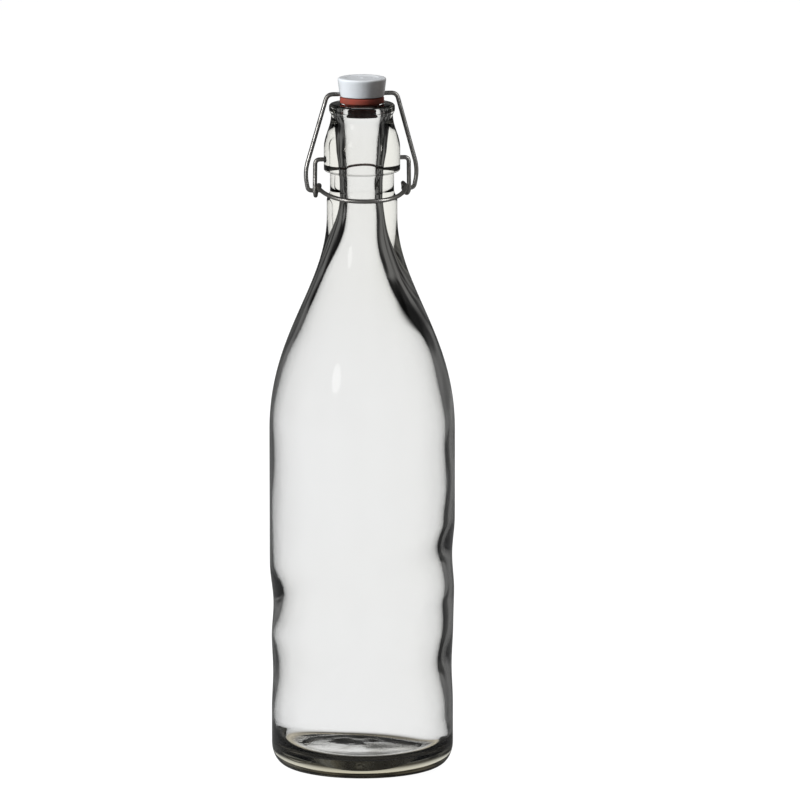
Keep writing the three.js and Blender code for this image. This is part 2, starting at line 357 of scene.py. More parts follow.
class Nodes:
    """Adds and joins nodes in one tree, in few words."""

    def __init__(self, tree: bpy.types.NodeTree) -> None:
        """Keeps the tree that the nodes go into."""
        self.tree = tree

    def add(self, kind: str, **settings: object) -> bpy.types.Node:
        """Adds a node.

        Args:
            kind: The node's type name, without its ShaderNode prefix.
            **settings: Properties of the node, or values of its inputs by name with _ for a space.

        Returns:
            The node.
        """
        node = self.tree.nodes.new("ShaderNode" + kind)
        for key, value in settings.items():
            if hasattr(node, key):
                setattr(node, key, value)
            else:
                node.inputs[key.replace("_", " ")].default_value = value
        return node

    def join(self, source: bpy.types.NodeSocket, target: bpy.types.NodeSocket) -> None:
        """Joins an output to an input."""
        self.tree.links.new(source, target)

    def math(self, operation: str, *values: object) -> bpy.types.NodeSocket:
        """Adds a Math node on sockets or numbers and returns its output."""
        node = self.tree.nodes.new("ShaderNodeMath")
        node.operation = operation
        for socket, value in zip(node.inputs, values):
            if isinstance(value, (int, float)):
                socket.default_value = value
            else:
                self.join(value, socket)
        return node.outputs[0]

    def remap(
        self, value: bpy.types.NodeSocket, low: float, high: float, to_low: float, to_high: float
    ) -> bpy.types.NodeSocket:
        """Maps a value smoothly from one range to another and returns the output."""
        node = self.add("MapRange", interpolation_type="SMOOTHSTEP")
        ends = {"From Min": low, "From Max": high, "To Min": to_low, "To Max": to_high}
        for name, number in ends.items():
            node.inputs[name].default_value = number
        self.join(value, node.inputs["Value"])
        return node.outputs["Result"]

    def noise(
        self, scale: float, detail: float, vector: bpy.types.NodeSocket | None = None
    ) -> bpy.types.NodeSocket:
        """Adds a noise pattern on Object coordinates, or on another vector, and returns its value."""
        node = self.add("TexNoise", Scale=scale, Detail=detail)
        self.join(vector or self.place(), node.inputs["Vector"])
        return node.outputs["Fac"]

    def place(self) -> bpy.types.NodeSocket:
        """Returns the Object coordinates."""
        return self.add("TexCoord").outputs["Object"]

    def mix(
        self,
        share: bpy.types.NodeSocket,
        first: Colour | bpy.types.NodeSocket,
        second: Colour | bpy.types.NodeSocket,
    ) -> bpy.types.NodeSocket:
        """Mixes two colours, plain or from sockets, by a share and returns the colour."""
        node = self.add("Mix", data_type="RGBA")
        sockets = (socket for socket in node.inputs if socket.type == "RGBA")
        for socket, colour in zip(sockets, (first, second)):
            if isinstance(colour, tuple):
                socket.default_value = (*colour, 1)
            else:
                self.join(colour, socket)
        self.join(share, node.inputs["Factor"])
        return next(socket for socket in node.outputs if socket.type == "RGBA")

    def bump(self, height: bpy.types.NodeSocket, depth: float, target: bpy.types.NodeSocket) -> None:
        """Feeds a height of 0 to 1, depth metres deep, to a shader's Normal."""
        node = self.add("Bump", Strength=1.0, Distance=depth)
        self.join(height, node.inputs["Height"])
        self.join(node.outputs["Normal"], target)


def handling_marks() -> bpy.types.NodeTree:
    """Builds, once, the group of fine scratches and smudges that every finish shares.

    Returns:
        A group with inputs Scale and Amount, and outputs Scratches and Smudges from 0 to 1.
    """
    name = "handling marks"
    if name in bpy.data.node_groups:
        return bpy.data.node_groups[name]
    group = bpy.data.node_groups.new(name, "ShaderNodeTree")
    for label in ("Scale", "Amount"):
        group.interface.new_socket(label, in_out="INPUT", socket_type="NodeSocketFloat")
    for label in ("Scratches", "Smudges"):
        group.interface.new_socket(label, in_out="OUTPUT", socket_type="NodeSocketFloat")
    nodes = Nodes(group)
    inside = group.nodes.new("NodeGroupInput").outputs
    outside = group.nodes.new("NodeGroupOutput").inputs
    scaled = nodes.add("VectorMath", operation="SCALE")
    nodes.join(nodes.place(), scaled.inputs[0])
    nodes.join(inside["Scale"], scaled.inputs["Scale"])
    lines = None
    for turn in ((0.3, 0.1, 0.4), (1.2, 0.5, 2.1)):
        turned = nodes.add("Mapping", Rotation=turn, Scale=(240, 3600, 900))
        nodes.join(scaled.outputs[0], turned.inputs["Vector"])
        streak = nodes.remap(nodes.noise(1.0, 1.0, turned.outputs[0]), 0.66, 0.74, 0, 1)
        lines = streak if lines is None else nodes.math("MAXIMUM", lines, streak)
    nodes.join(nodes.math("MULTIPLY", lines, inside["Amount"]), outside["Scratches"])
    patches = nodes.remap(nodes.noise(55, 4, scaled.outputs[0]), 0.48, 0.68, 0, 1)
    nodes.join(nodes.math("MULTIPLY", patches, inside["Amount"]), outside["Smudges"])
    return group


def add_marks(nodes: Nodes, scale: float, amount: float) -> bpy.types.bpy_prop_collection:
    """Places the shared marks in a material and returns the group node's outputs."""
    marks = nodes.tree.nodes.new("ShaderNodeGroup")
    marks.node_tree = handling_marks()
    marks.inputs["Scale"].default_value = scale
    marks.inputs["Amount"].default_value = amount
    return marks.outputs


def new_material(name: str) -> tuple[bpy.types.Material, Nodes, bpy.types.Node]:
    """Starts a material.

    Args:
        name: The material's name.

    Returns:
        The material, its node helper and its Principled shader.
    """
    material = bpy.data.materials.new(name)
    material.use_nodes = True
    nodes = Nodes(material.node_tree)
    return material, nodes, material.node_tree.nodes["Principled BSDF"]


@dataclass(frozen=True)
class GlassFinish:
    """Clear soda-lime glass with an olive cast where it is thick, and a rough underside painted a
    mottled grey as shade beneath the bottle.
    """

    ior: float = 1.52
    clear: Colour = (0.985, 0.988, 0.992)
    clear_shade: Colour = (0.975, 0.979, 0.984)
    cast: Colour = (0.84, 0.82, 0.68)
    cast_density: float = 16.0
    painted_base_shade: Colour = (0.60, 0.59, 0.55)
    base_shade_share: Span = (0.25, 1)
    film_roughness: Span = (0.12, 0.30)
    film_and_shade_z: Span = (0.006, 0.010)
    base_r: Span = (0.028, 0.034)
    heel_cast: Colour = (0.46, 0.39, 0.26)
    heel_z: Span = (0.002, 0.007)
    smudge_roughness: float = 0.018
    ripple: float = 0.00006
    stipple: float = 0.0003
    stipple_z: Span = (0.0085, 0.0125)
    seam_half_width: float = 0.0003
    seam_share: float = 0.4

    def off_axis(self, nodes: Nodes) -> bpy.types.NodeSocket:
        """Returns the distance from the bottle's axis."""
        flat = nodes.add("VectorMath", operation="MULTIPLY")
        nodes.join(nodes.place(), flat.inputs[0])
        flat.inputs[1].default_value = (1, 1, 0)
        span = nodes.add("VectorMath", operation="LENGTH")
        nodes.join(flat.outputs[0], span.inputs[0])
        return span.outputs["Value"]

    def relief(
        self, nodes: Nodes, axes: bpy.types.NodeOutputs, under: bpy.types.NodeSocket
    ) -> bpy.types.NodeSocket:
        """Returns the blown ripples, the mould seam and the stippled base, in ripple depths.

        Args:
            nodes: The glass's tree.
            axes: The Object coordinates, one by one.
            under: 1 within the base's radius and 0 outside it.
        """
        across = nodes.math("ABSOLUTE", axes["X"])
        seam = nodes.remap(across, 0, self.seam_half_width, 1, 0)
        seam = nodes.math("MULTIPLY", seam, self.seam_share)
        low = nodes.math("MULTIPLY", nodes.remap(axes["Z"], *self.stipple_z, 1, 0), under)
        share = nodes.math("MULTIPLY", low, self.stipple / self.ripple)
        mottle = nodes.math("MULTIPLY", share, nodes.noise(210, 3))
        return nodes.math("ADD", nodes.math("ADD", nodes.noise(48, 1), seam), mottle)

    def material(self) -> bpy.types.Material:
        """Builds the glass, with ripples, a mould seam, a rough underside with painted shade in mottled
        grey, and smudges.
        """
        material, nodes, shader = new_material("clear soda-lime glass")
        shader.inputs["Transmission Weight"].default_value = 1.0
        shader.inputs["IOR"].default_value = self.ior
        marks = add_marks(nodes, 1.0, 0.5)
        split = nodes.add("SeparateXYZ")
        nodes.join(nodes.place(), split.inputs[0])
        axes = split.outputs
        under = nodes.remap(self.off_axis(nodes), *self.base_r, 1, 0)
        # Painted shade: the underside's colour is mixed towards a mottled grey that stands for the dark
        # beneath the bottle; the same mask gives the underside its rough film.
        base = nodes.math("MULTIPLY", nodes.remap(axes["Z"], *self.film_and_shade_z, 1, 0), under)
        clear = nodes.mix(nodes.noise(9, 2), self.clear, self.clear_shade)
        painted_base_shade = nodes.remap(nodes.noise(75, 3), 0.40, 0.62, *self.base_shade_share)
        with_base_shade = nodes.mix(nodes.math("MULTIPLY", base, painted_base_shade), clear, self.painted_base_shade)
        low_rim = nodes.remap(axes["Z"], *self.heel_z, 1, 0)
        heel = nodes.math("MULTIPLY", low_rim, nodes.math("SUBTRACT", 1, under))
        nodes.join(nodes.mix(heel, with_base_shade, self.heel_cast), shader.inputs["Base Color"])
        blot = nodes.remap(nodes.noise(120, 4), 0.40, 0.62, *self.film_roughness)
        smudge = nodes.remap(marks["Smudges"], 0, 1, 0.0, self.smudge_roughness)
        nodes.join(nodes.math("MULTIPLY_ADD", base, blot, smudge), shader.inputs["Roughness"])
        nodes.bump(self.relief(nodes, axes, under), self.ripple, shader.inputs["Normal"])
        depth = nodes.add("VolumeAbsorption", Density=self.cast_density)
        depth.inputs["Color"].default_value = (*self.cast, 1)
        nodes.join(depth.outputs[0], material.node_tree.nodes["Material Output"].inputs["Volume"])
        return material


@dataclass(frozen=True)
class WireFinish:
    """Drawn steel wire, dulled by handling."""

    bright: Colour = (0.56, 0.55, 0.53)
    dull: Colour = (0.34, 0.33, 0.31)
    roughness: Span = (0.2, 0.36)
    grain_roughness: float = 0.12
    scratch_roughness: float = 0.1
    relief: float = 0.000005

    def material(self) -> bpy.types.Material:
        """Builds the steel, with die lines, dull patches and fine scratches."""
        material, nodes, shader = new_material("drawn steel wire")
        shader.inputs["Metallic"].default_value = 1.0
        marks = add_marks(nodes, 1.6, 0.9)
        patches = nodes.remap(nodes.noise(130, 5), 0.38, 0.66, 0, 1)
        nodes.join(nodes.mix(patches, self.bright, self.dull), shader.inputs["Base Color"])
        grain = nodes.noise(2600, 3)
        rough = nodes.remap(patches, 0, 1, *self.roughness)
        rough = nodes.math("MULTIPLY_ADD", grain, self.grain_roughness, rough)
        rough = nodes.math("MULTIPLY_ADD", marks["Scratches"], self.scratch_roughness, rough)
        nodes.join(rough, shader.inputs["Roughness"])
        lines = nodes.math("ADD", grain, marks["Scratches"])
        nodes.bump(lines, self.relief, shader.inputs["Normal"])
        return material


@dataclass(frozen=True)
class PlasticFinish:
    """Cool white moulded plastic with a soft gloss."""

    clean: Colour = (0.80, 0.82, 0.85)
    worn: Colour = (0.70, 0.71, 0.72)
    roughness: Span = (0.24, 0.4)
    coat: float = 0.25
    coat_roughness: float = 0.12
    relief: float = 0.00002

    def material(self) -> bpy.types.Material:
        """Builds the plastic, with faint flow marks, smudges and scratches."""
        material, nodes, shader = new_material("white moulded plastic")
        marks = add_marks(nodes, 1.2, 0.8)
        flow = nodes.remap(nodes.noise(90, 4), 0.4, 0.7, 0, 1)
        shade = nodes.math("MAXIMUM", nodes.math("MULTIPLY", flow, 0.5), marks["Smudges"])
        nodes.join(nodes.mix(shade, self.clean, self.worn), shader.inputs["Base Color"])
        rough = nodes.remap(marks["Smudges"], 0, 1, *self.roughness)
        nodes.join(rough, shader.inputs["Roughness"])
        shader.inputs["Coat Weight"].default_value = self.coat
        shader.inputs["Coat Roughness"].default_value = self.coat_roughness
        lines = nodes.math("MULTIPLY_ADD", marks["Scratches"], -0.8, nodes.noise(700, 2))
        nodes.bump(lines, self.relief, shader.inputs["Normal"])
        return material


@dataclass(frozen=True)
class RubberFinish:
    """Brick-red natural rubber, slightly bloomed."""

    fresh: Colour = (0.34, 0.07, 0.048)
    bloomed: Colour = (0.27, 0.082, 0.06)
    roughness: Span = (0.45, 0.68)
    relief: float = 0.00003

    def material(self) -> bpy.types.Material:
        """Builds the rubber, with bloom and a fine moulded grain."""
        material, nodes, shader = new_material("red rubber")
        marks = add_marks(nodes, 2.0, 0.7)
        bloom = nodes.remap(nodes.noise(210, 5), 0.42, 0.68, 0, 1)
        nodes.join(nodes.mix(bloom, self.fresh, self.bloomed), shader.inputs["Base Color"])
        nodes.join(nodes.remap(bloom, 0, 1, *self.roughness), shader.inputs["Roughness"])
        grain = nodes.math("MULTIPLY_ADD", marks["Scratches"], 0.5, nodes.noise(3200, 2))
        nodes.bump(grain, self.relief, shader.inputs["Normal"])
        return material


# ---------------------------------------------------------------- pieces


@dataclass
class Piece:
    """What every piece has: a name, a body, a slot and a finish."""

    name: str
    node: str
    body: Body
    slot: Slot

    def hand_over(self, made: bpy.types.Object, material: bpy.types.Material) -> bpy.types.Object:
        """Dresses a finished mesh, rides it on its body and puts it in its node's place.

        Args:
            made: The finished mesh.
            material: Its finish.

        Returns:
            The same mesh.
        """
        made.data.materials.clear()
        made.data.materials.append(material)
        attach(made, self.body.value)
        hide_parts(self.node)
        low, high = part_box(self.node)
        span = [round((b - a) / MM, 2) for a, b in zip(low, high)]
        own = [round(d / MM, 2) for d in made.dimensions]
        faces = len(made.data.polygons)
        LOG.info("%s: %d faces, %s mm in a node of %s mm", self.name, faces, own, span)
        return made


@dataclass(frozen=True)
class Grip:
    """One soft groove round the lower body, which slants and is highest towards +X."""

    z: float
    slant: float
    depth: float
    half_height: float = 18.0

    def depth_at(self, angle: float, z: float) -> float:
        """Returns how deep the groove presses in at an angle and a height, in millimetres."""
        away = (z - self.z - self.slant * math.cos(angle)) / self.half_height
        return self.depth * (0.5 + 0.5 * math.cos(math.pi * away)) if abs(away) < 1 else 0.0


@dataclass
class Bottle(Piece):
    """The blown glass bottle."""

    body_r: float = 42.5
    body_taper: float = 0.8
    taper_z: Span = (55.0, 98.0)
    wall: float = 2.3
    lip_top: float = 306.6
    bore_r: float = 8.3
    bore_low_z: float = 296.0
    choke_r: float = 6.4
    choke_z: Span = (264.0, 268.0)
    root: Point = (14.0, 228.0)
    ring_in_r: float = 27.0
    ring_out_r: float = 35.0
    heel_rise: float = 10.0
    push_up: float = 5.0
    floor_edge: Point = (34.0, 8.5)
    floor_centre_z: float = 11.0
    floor_heel_z: float = 16.0
    grip_top: float = 134.0
    shoulder_z: float = 156.1
    shoulder_pull: float = 44.5
    neck_r: float = 16.1
    neck_z: float = 255.1
    neck_pull: float = 32.9
    groove_r: float = 14.6
    groove_z: tuple[float, float, float] = (262.0, 267.5, 275.0)
    bead_r: float = 17.4
    bead_z: Span = (275.7, 286.0)
    bead_round: float = 0.9
    waist: Point = (14.1, 301.6)
    lip_r: float = 15.0
    lip_z: float = 303.2
    lip_round: float = 1.4
    mouth_r: float = 9.7
    mouth_ease: float = 1.8
    dimple_r: float = 1.5
    dimple_floor_r: float = 14.9
    lever_z: float = 281.3
    thick_side: float = math.radians(-10)
    steps: int = 192
    grips: tuple[Grip, ...] = (Grip(87, 11, 1.2), Grip(44.5, 1.5, 0.6))
    grip_inner_share: float = 2.05
    grip_inner_bias: float = 0.35

    def body_radius(self, z: float) -> float:
        """Returns the body's radius at a height, before the grip grooves."""
        return self.body_r - self.body_taper * (1 - smoothstep(z, *self.taper_z))

    def add_body(self, line: Outline, wall: float, start: float, end: float, rows: int = 84) -> None:
        """Adds rows of points along the body, so that the grooves have points to move."""
        for row in range(rows + 1):
            z = start + (end - start) * row / rows
            line.to(self.body_radius(z) - wall, z)

    def draw_outside(self, line: Outline) -> None:
        """Draws the underside, body, shoulder, neck finish and lip."""
        heel_r = self.body_radius(0)
        line.to(0, self.push_up)
        arch = ((self.ring_in_r * 0.5, self.push_up), (self.ring_in_r * 0.84, self.push_up * 0.66))
        line.sweep(*arch, (self.ring_in_r, 0.35), 12)
        line.arc((self.ring_in_r + 0.35, 0.35), (0.35, 0.35), (180, 270), 3)
        line.to(self.ring_out_r, 0, 4)
        heel = (heel_r - self.ring_out_r, self.heel_rise)
        line.arc((self.ring_out_r, self.heel_rise), heel, (-90, 0), 18)
        self.add_body(line, 0, self.heel_rise + 1, self.grip_top)
        line.to(self.body_r, self.shoulder_z, 6)
        shoulder = (self.body_r, self.shoulder_z + self.shoulder_pull)
        neck = (self.neck_r, self.neck_z)
        line.sweep(shoulder, (self.neck_r, self.neck_z - self.neck_pull), neck, 50)
        foot, low, high = self.groove_z
        line.to(self.neck_r, foot, 3)
        line.sweep((self.neck_r, foot + 2), (self.groove_r, low - 3), (self.groove_r, low), 12)
        bead_low, bead_high = self.bead_z
        edge = self.bead_round
        line.to(self.groove_r, high - 0.7, 4)
        corner = ((self.groove_r, bead_low - 0.3), (self.groove_r + 0.3, bead_low))
        line.sweep(*corner, (self.groove_r + 0.9, bead_low), 5)
        line.to(self.bead_r - edge, bead_low)
        line.arc((self.bead_r - edge, bead_low + edge), (edge, edge), (-90, 0), 6)
        line.to(self.bead_r, bead_high, 5)
        waist_r, waist_z = self.waist
        line.sweep((self.bead_r, bead_high + 6), (waist_r, waist_z - 6), (waist_r, waist_z), 16)
        edge = self.lip_round
        flare = ((waist_r, waist_z + 0.6), (self.lip_r, self.lip_z - 0.8))
        line.sweep(*flare, (self.lip_r, self.lip_z + 0.8), 8)
        line.arc((self.lip_r - edge, self.lip_top - edge), (edge, edge), (0, 90), 8)

    def draw_inside(self, line: Outline) -> None:
        """Draws the mouth, bore, thick neck root, shoulder, body and floor."""
        body_in = self.body_r - self.wall
        mouth_r = self.bore_r + 0.4
        line.to(self.mouth_r, self.lip_top, 3)
        ease = (mouth_r - self.mouth_r, self.mouth_ease)
        line.arc((self.mouth_r, self.lip_top - self.mouth_ease), ease, (90, 0), 6)
        line.to(self.bore_r, self.bore_low_z, 4)
        choke_low, choke_high = self.choke_z
        funnel = ((self.bore_r, self.bore_low_z - 9), (self.choke_r, choke_high + 14))
        line.sweep(*funnel, (self.choke_r, choke_high), 20)
        line.to(self.choke_r, choke_low, 4)
        root_r, root_z = self.root
        line.sweep((self.choke_r, choke_low - 11), (root_r - 4, root_z + 11), (root_r, root_z), 36)
        shoulder = ((root_r + 6, root_z - 16.5), (body_in - 0.5, self.shoulder_z + 34))
        line.sweep(*shoulder, (body_in, self.shoulder_z), 46)
        line.to(body_in, self.grip_top, 6)
        self.add_body(line, self.wall, self.grip_top, self.floor_heel_z + 1)
        floor_r, floor_z = self.floor_edge
        heel_in = self.body_radius(0) - self.wall
        heel = (heel_in - floor_r, self.floor_heel_z - floor_z)
        line.arc((floor_r, self.floor_heel_z), heel, (0, -90), 14)
        crown = ((floor_r * 0.62, floor_z + 0.6), (floor_r * 0.35, self.floor_centre_z))
        line.sweep(*crown, (0, self.floor_centre_z), 22)

    def press(self, glass: bpy.types.Object, line: Outline, inside_from: int) -> None:
        """Moves the glass's points: grip grooves, the uneven inside of blown glass, a knurled ring.

        Args:
            glass: The turned glass.
            line: Its outline.
            inside_from: Where the outline's inside starts.
        """
        sections = KDTree(len(line.points))
        for index, (radius, z) in enumerate(line.points):
            sections.insert((radius, z, 0), index)
        sections.balance()
        for vertex in glass.data.vertices:
            x, y, z = (c / MM for c in vertex.co)
            radius = math.hypot(x, y)
            if radius < 1e-3:
                continue
            angle = math.atan2(y, x)
            outer = sections.find((radius, z, 0))[1] < inside_from
            moved = radius
            shift = 0.0
            if self.heel_rise <= z <= self.shoulder_z:
                grip = sum(groove.depth_at(angle, z) for groove in self.grips)
                inner_share = self.grip_inner_share - self.grip_inner_bias * math.cos(angle)
                moved -= grip * (1 if outer else inner_share)
            if not outer:
                moved += self.unevenness(angle, z) - self.extra_wall(z)
                shift = self.lean(z)
                z += self.floor_unevenness(angle, radius, z)
            elif z < 0.02 and self.ring_in_r + 1 < radius < self.ring_out_r - 0.1:
                z += self.knurl(angle)
            x = moved * math.cos(angle) - shift * math.cos(self.thick_side)
            y = moved * math.sin(angle) - shift * math.sin(self.thick_side)
            vertex.co = (x * MM, y * MM, z * MM)

    def lean(self, z: float) -> float:
        """Returns how far the inside leans away from the thick side at a height, in millimetres."""
        body = 1.2 + 0.9 * smoothstep(z, 200, 216) - 1.8 * smoothstep(z, 222, 262)
        return body * smoothstep(z, 9, 24) * (1 - smoothstep(z, 270, 298))

    def extra_wall(self, z: float) -> float:
        """Returns how much thicker the blown wall is than its nominal at a height, in millimetres."""
        return 1.0 * smoothstep(z, 17, 40) * (1 - smoothstep(z, 170, 205))

    def unevenness(self, angle: float, z: float) -> float:
        """Returns how far the inner wall wanders at an angle and a height, in millimetres."""
        away_from_mouth = 1 - smoothstep(z, 284, 296)
        off_floor = smoothstep(z, self.floor_heel_z, self.floor_heel_z + 14)
        swell = math.sin(angle + 0.5) + 0.6 * math.sin(2 * angle - z / 31)
        ripple = 0.5 * math.sin(3 * angle + z / 9.5) + 0.4 * math.cos(z / 5.2 - 2 * angle)
        reach = 0.22 - 0.16 * smoothstep(z, 250, 268)
        return reach * (swell + ripple) * away_from_mouth * off_floor

    def floor_unevenness(self, angle: float, radius: float, z: float) -> float:
        """Returns how far the inner floor wanders up or down, in millimetres."""
        if z > self.floor_centre_z + 0.1:
            return 0.0
        fade = smoothstep(radius, 1, 8) * (1 - smoothstep(radius, 29, 35))
        wander = math.sin(radius / 3.4 + 2 * angle) + 0.8 * math.sin(3 * angle - radius / 5.1 + 1)
        return 0.3 * fade * wander

    def knurl(self, angle: float) -> float:
        """Returns how far every second step of the standing ring is lifted, in millimetres."""
        step = round(angle / TAU * self.steps)
        return 0.12 if step % 2 else 0.0

    def build(self, finish: GlassFinish) -> bpy.types.Object:
        """Turns the glass, shapes it, and sinks the two dimples that hold the lever's ends."""
        line = Outline()
        self.draw_outside(line)
        inside_from = len(line.points)
        self.draw_inside(line)
        glass = turn_outline(self.name, line, self.steps)
        self.press(glass, line, inside_from)
        for side in (-1, 1):
            depth = self.bead_r + 1 - self.dimple_floor_r
            centre = (side * (self.dimple_floor_r + depth / 2), 0, self.lever_z)
            cut_away(glass, add_bar(self.dimple_r, depth, centre, 0.5))
        smooth(glass, 35)
        return self.hand_over(glass, finish.material())


@dataclass
class LeverWire(Piece):
    """The lever: tips in the glass, a coiled eye on each side and a hoop in front of the neck."""

    wire_r: float = 1.0
    pivot_z: float = 281.3
    tip_x: float = 15.3
    out_x: float = 21.6
    elbow: float = 2.2
    eye_centre: Point = (2.55, 266.7)
    eye_r: float = 2.35
    eye_x: Span = (21.8, 19.4)
    hoop_r: float = 17.45
    hoop_spread: float = 2.6
    hoop_z: float = 264.1
    hoop_rise: float = 3.8
    hoop_end: float = math.radians(84)
    spacing: float = 0.45

    def eye(self) -> list[Vector]:
        """Lays three quarters of a turn under, behind and over the bail's pin, moving inwards."""
        y, z = self.eye_centre
        outer, inner = self.eye_x
        steps = math.ceil(1.5 * math.pi * self.eye_r / self.spacing)
        points = []
        for step in range(steps + 1):
            share = step / steps
            turn = 1.5 * math.pi * share
            x = outer + (inner - outer) * share
            points.append(Vector((x, y - self.eye_r * math.cos(turn), z - self.eye_r * math.sin(turn))))
        return points

    def half_hoop(self) -> list[Vector]:
        """Lays the right half of the hoop, from its end at the eye to its front."""
        steps = math.ceil(self.hoop_end * self.hoop_r / self.spacing)
        points = []
        for step in range(steps + 1):
            share = 1 - step / steps
            angle = self.hoop_end * share
            radius = self.hoop_r + self.hoop_spread * share**2
            z = self.hoop_z + self.hoop_rise * share**2.5
            points.append(Vector((radius * math.sin(angle), -radius * math.cos(angle), z)))
        return points

    def route(self) -> list[Vector]:
        """Lays the whole wire from the right tip to the left one."""
        eye = self.eye()
        tip = Vector((self.tip_x, 0, self.pivot_z))
        elbow = Vector((self.out_x, 0, self.pivot_z))
        leg = rounded([tip, elbow, eye[0]], [self.elbow], self.spacing)
        hoop = self.half_hoop()
        right = leg[:-1] + eye + join_smoothly(eye, hoop, self.spacing) + hoop
        left = [Vector((-p.x, p.y, p.z)) for p in reversed(right[:-1])]
        return right + left

    def build(self, finish: WireFinish) -> bpy.types.Object:
        """Bends the lever."""
        wire = bend_wire(self.name, self.route(), self.wire_r)
        smooth(wire, 50)
        return self.hand_over(wire, finish.material())


@dataclass
class BailWire(Piece):
    """The bail: through the stopper, down both sides and in through the lever's eyes."""

    wire_r: float = 1.0
    top_z: float = 311.1
    pin: Point = (2.55, 266.7)
    pin_x: float = 18.7
    foot_x: float = 24.5
    knee: Point = (26.1, 275.3)
    shoulder_x: float = 16.0
    bends: tuple[float, float, float] = (1.9, 5.0, 2.6)
    spacing: float = 0.45

    def route(self) -> list[Vector]:
        """Lays the whole wire from the right pin to the left one."""
        pin_y, pin_z = self.pin
        knee_x, knee_z = self.knee
        knee_y = pin_y * (self.top_z - knee_z) / (self.top_z - pin_z)
        half = [
            Vector((self.pin_x, pin_y, pin_z)),
            Vector((self.foot_x, pin_y, pin_z)),
            Vector((knee_x, knee_y, knee_z)),
            Vector((self.shoulder_x, 0, self.top_z)),
        ]
        mirrored = [Vector((-p.x, p.y, p.z)) for p in reversed(half)]
        return rounded(half + mirrored, [*self.bends, *reversed(self.bends)], self.spacing)

    def build(self, finish: WireFinish) -> bpy.types.Object:
        """Bends the bail."""
        wire = bend_wire(self.name, self.route(), self.wire_r)
        smooth(wire, 50)
        return self.hand_over(wire, finish.material())


@dataclass
class StopperHead(Piece):
    """The white head with its stem, its lower flange and the hole that the bail runs through."""

    top_z: float = 318.5
    top_r: float = 11.05
    low_r: float = 10.2
    low_z: float = 310.1
    top_round: float = 0.9
    low_round: float = 0.35
    recess_r: float = 7.6
    recess_depth: float = 0.25
    pip_r: float = 0.9
    pip_drop: float = 0.05
    stem_r: float = 5.4
    flange_r: float = 6.5
    flange_z: Span = (301.2, 302.6)
    wire_z: float = 311.1
    hole_r: float = 1.3
    steps: int = 128

    def outline(self) -> Outline:
        """Draws the head from the middle of the flange's underside to the middle of its top."""
        flange_low, flange_top = self.flange_z
        edge, foot = self.top_round, self.low_round
        line = Outline()
        line.to(0, flange_low)
        line.to(self.flange_r - 0.5, flange_low, 3)
        line.arc((self.flange_r - 0.5, flange_low + 0.5), (0.5, 0.5), (-90, 0), 4)
        line.to(self.flange_r, flange_top)
        line.to(self.stem_r, flange_top)
        line.to(self.stem_r, self.low_z, 4)
        line.to(self.low_r - foot, self.low_z, 4)
        line.arc((self.low_r - foot, self.low_z + foot), (foot, foot), (-90, 0), 4)
        line.to(self.top_r, self.top_z - edge, 6)
        line.arc((self.top_r - edge, self.top_z - edge), (edge, edge), (0, 90), 8)
        rim, sunk = self.recess_r, self.top_z - self.recess_depth
        line.to(rim + 0.4, self.top_z, 2)
        line.sweep((rim + 0.1, self.top_z), (rim, sunk), (rim - 0.3, sunk), 4)
        pip_r, pip_top = self.pip_r, self.top_z - self.pip_drop
        line.to(pip_r, sunk, 4)
        line.sweep((pip_r - 0.2, sunk), (pip_r - 0.3, pip_top), (0, pip_top), 4)
        return line

    def build(self, finish: PlasticFinish) -> bpy.types.Object:
        """Turns the head, and cuts the wire's hole through it and its slots under the rim."""
        head = turn_outline(self.name, self.outline(), self.steps)
        cut_away(head, add_bar(self.hole_r, 3 * self.top_r, (0, 0, self.wire_z), 0.05))
        for side in (-1, 1):
            deselect_all()
            length = self.top_r + 1 - self.stem_r
            bpy.ops.mesh.primitive_cube_add(
                size=1,
                location=(side * (self.stem_r + 0.2 + length / 2) * MM, 0, (self.wire_z - 0.9) * MM),
                scale=(length * MM, 2 * self.hole_r * MM, 1.8 * MM),
            )
            bpy.ops.object.transform_apply(location=True, rotation=True, scale=True)
            cut_away(head, bpy.context.object)
        smooth(head, 35)
        return self.hand_over(head, finish.material())


@dataclass
class Gasket(Piece):
    """The red washer on the lip, with its plug in the mouth."""

    hole_r: float = 5.7
    washer_r: float = 10.1
    washer_z: Span = (306.9, 309.8)
    washer_round: float = 0.7
    plug_r: float = 8.1
    plug_low_r: float = 6.6
    plug_low_z: float = 302.9
    steps: int = 128

    def outline(self) -> Outline:
        """Draws the gasket's section, closed on itself."""
        low, high = self.washer_z
        edge = self.washer_round
        line = Outline()
        line.to(self.hole_r, self.plug_low_z)
        line.to(self.plug_low_r - 0.3, self.plug_low_z, 2)
        line.arc((self.plug_low_r - 0.3, self.plug_low_z + 0.4), (0.4, 0.4), (-90, -20), 4)
        line.to(self.plug_r, low - 0.5, 5)
        corner = ((self.plug_r + 0.1, low - 0.1), (self.plug_r + 0.3, low))
        line.sweep(*corner, (self.plug_r + 0.7, low), 4)
        line.arc((self.washer_r - edge, low + edge), (edge, edge), (-90, 0), 5)
        line.arc((self.washer_r - edge, high - edge), (edge, edge), (0, 90), 5)
        line.to(self.hole_r, high, 4)
        line.to(self.hole_r, self.plug_low_z, 6)
        return line

    def build(self, finish: RubberFinish) -> bpy.types.Object:
        """Turns the gasket."""
        ring = turn_outline(self.name, self.outline(), self.steps)
        smooth(ring, 40)
        return self.hand_over(ring, finish.material())


# ---------------------------------------------------------------- studio


